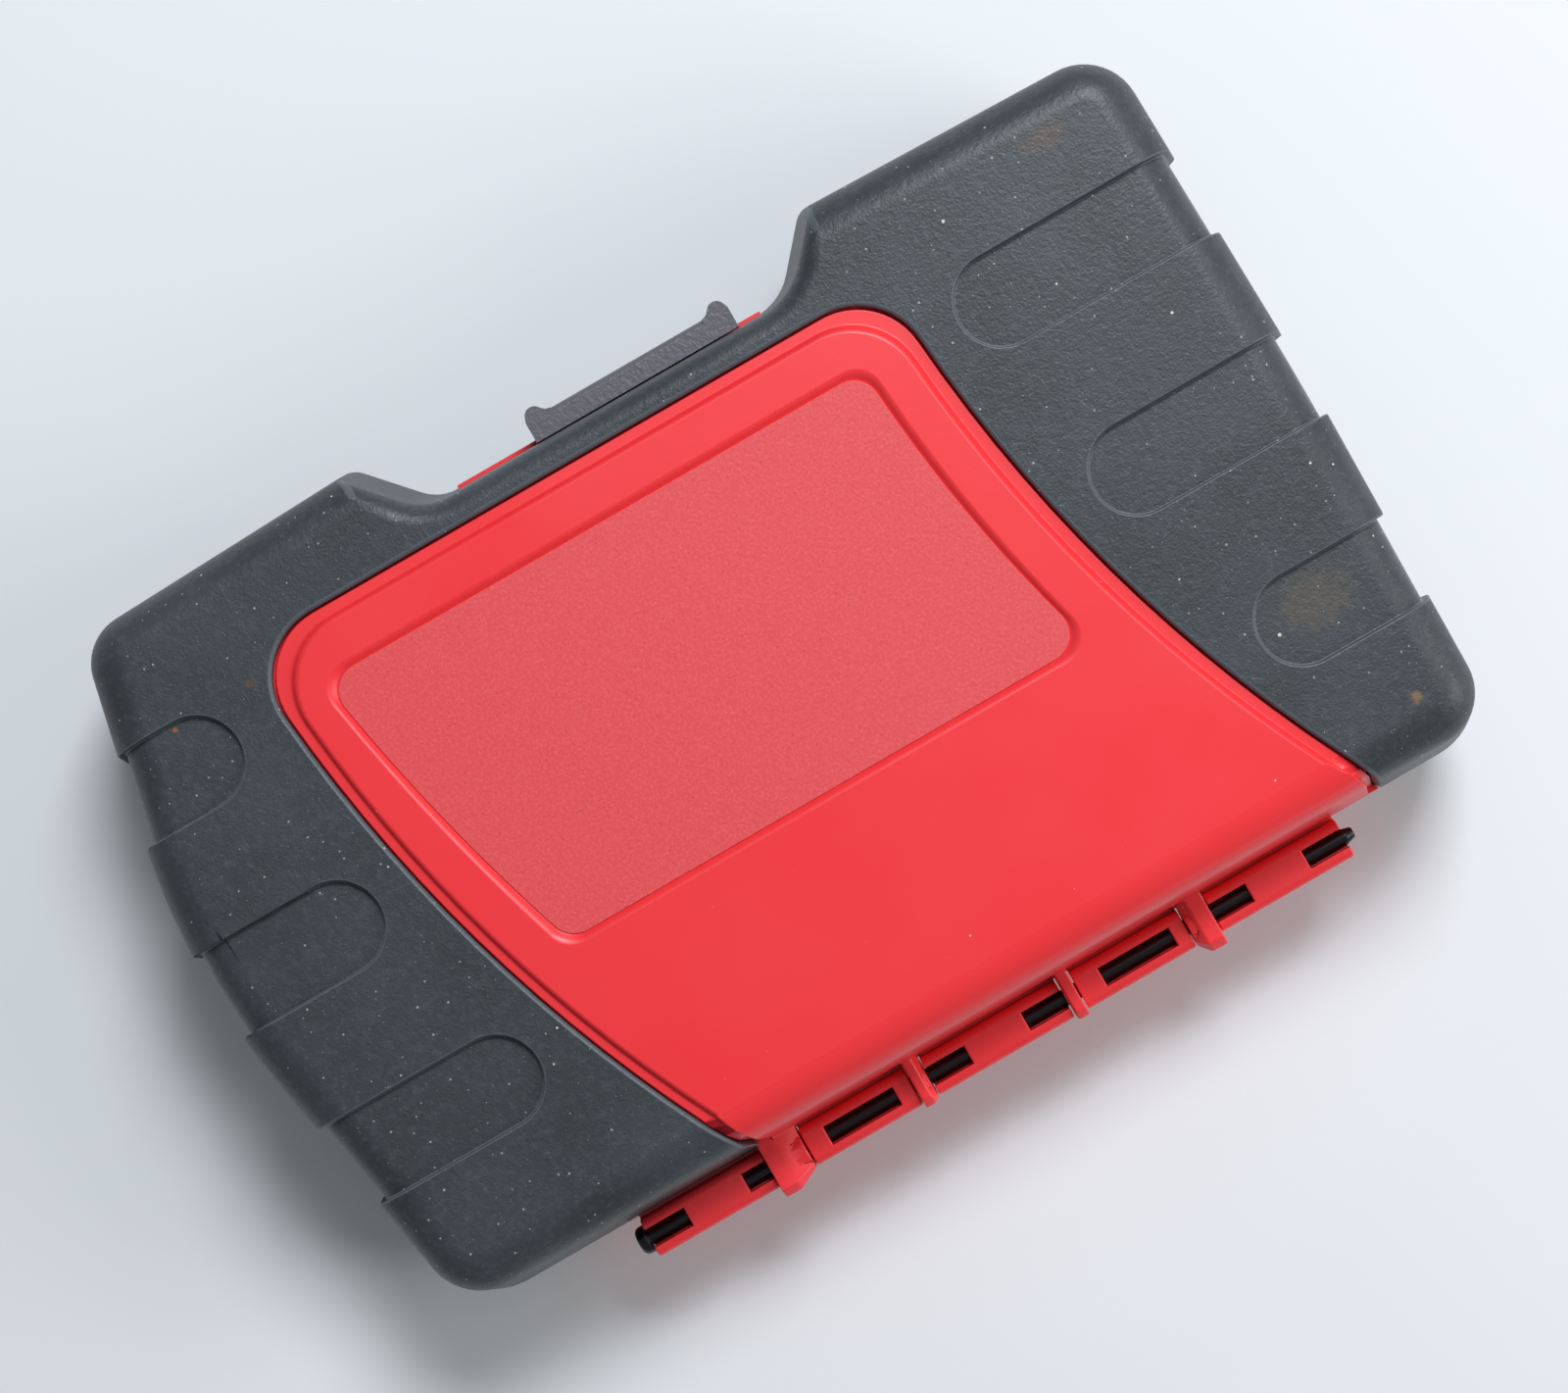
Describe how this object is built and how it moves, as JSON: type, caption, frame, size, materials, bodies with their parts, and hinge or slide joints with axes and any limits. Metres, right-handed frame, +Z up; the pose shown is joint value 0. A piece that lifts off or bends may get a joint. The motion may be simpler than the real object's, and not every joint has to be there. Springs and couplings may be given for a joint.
{
  "type": "drill bit case",
  "caption": "Drill bit case with a bowed side, red shells, soft black grips, a front latch, a pinned back hinge and pop-up racks of twist drill bits",
  "frame": {"origin": "middle of the case's outline, on the surface that it lies on", "axes": "+X is the bowed side, -Y the latch side, +Z up through the lid"},
  "size_m": [0.2273, 0.1543, 0.05],
  "materials": {
    "red": "satin moulded plastic",
    "label": "matte film with fine grain",
    "grip": "soft moulded grip",
    "black": "fine-grained moulded plastic",
    "steel": "bright zinc plate",
    "dark_steel": "black oxide",
    "bit_steel": "straw-coloured ground steel"
  },
  "bodies": {
    "base": {"base_shell": "red", "base_grip": "grip", "hinge_pin": "dark_steel", "latch_pin": "dark_steel", "rack_bracket_right": "black", "rack_bracket_left": "black", "bracket_screws": "steel"},
    "lid": {"lid_shell": "red", "lid_grip": "grip", "label_panel": "label", "lid_link_pins": "steel"},
    "latch": {"latch": "black"},
    "rack_low": {"rack_bar_low": "black", "rack_rod_low": "steel", "rack_cranks_low": "steel", "drill_bit_1_16": "bit_steel", "drill_bit_5_64": "bit_steel", "drill_bit_3_32": "bit_steel", "drill_bit_7_64": "bit_steel", "drill_bit_1_8": "bit_steel", "drill_bit_9_64": "bit_steel", "drill_bit_5_32": "bit_steel"},
    "rack_mid": {"rack_bar_mid": "black", "rack_rod_mid": "steel", "rack_cranks_mid": "steel", "drill_bit_11_64": "bit_steel", "drill_bit_3_16": "bit_steel", "drill_bit_13_64": "bit_steel", "drill_bit_7_32": "bit_steel", "drill_bit_15_64": "bit_steel", "drill_bit_1_4": "bit_steel", "drill_bit_17_64": "bit_steel"},
    "rack_top": {"rack_bar_top": "black", "rack_rod_top": "steel", "rack_cranks_top": "steel", "drill_bit_9_32": "bit_steel", "drill_bit_19_64": "bit_steel", "drill_bit_5_16": "bit_steel", "drill_bit_21_64": "bit_steel", "drill_bit_11_32": "bit_steel", "drill_bit_23_64": "bit_steel", "drill_bit_3_8": "bit_steel"},
    "link_right": {"link_right": "steel"},
    "link_left": {"link_left": "steel"}
  },
  "joints": [
    {"name": "lid_hinge", "type": "hinge", "parent": "base", "child": "lid", "pos_m": [-0.0048, 0.0712, 0.026], "axis": [-1, 0, 0], "range_deg": [0, 95]},
    {"name": "latch_hinge", "type": "hinge", "parent": "base", "child": "latch", "pos_m": [-0.0078, -0.0655, 0.015], "axis": [1, 0, 0], "range_deg": [0, 100]},
    {"name": "rack_low_pivot", "type": "hinge", "parent": "base", "child": "rack_low", "pos_m": [-0.00435, 0.027, 0.01], "axis": [-1, 0, 0], "range_deg": [0, 95]},
    {"name": "rack_mid_pivot", "type": "hinge", "parent": "base", "child": "rack_mid", "pos_m": [-0.00435, 0.04, 0.021], "axis": [-1, 0, 0], "range_deg": [0, 95]},
    {"name": "rack_top_pivot", "type": "hinge", "parent": "base", "child": "rack_top", "pos_m": [-0.00435, 0.054, 0.03398], "axis": [-1, 0, 0], "range_deg": [0, 95]},
    {"name": "link_right_pivot", "type": "hinge", "parent": "rack_top", "child": "link_right", "pos_m": [0.08365, 0.0405, 0.03398], "axis": [-1, 0, 0], "range_deg": [-95, 0]},
    {"name": "link_left_pivot", "type": "hinge", "parent": "rack_top", "child": "link_left", "pos_m": [-0.09235, 0.0405, 0.03398], "axis": [-1, 0, 0], "range_deg": [-95, 0]}
  ],
  "couplings": [
    {"joint": "rack_low_pivot", "follows": "lid_hinge", "ratio": 1},
    {"joint": "rack_mid_pivot", "follows": "lid_hinge", "ratio": 1},
    {"joint": "rack_top_pivot", "follows": "lid_hinge", "ratio": 1},
    {"joint": "link_right_pivot", "follows": "lid_hinge", "ratio": -1},
    {"joint": "link_left_pivot", "follows": "lid_hinge", "ratio": -1}
  ]
}
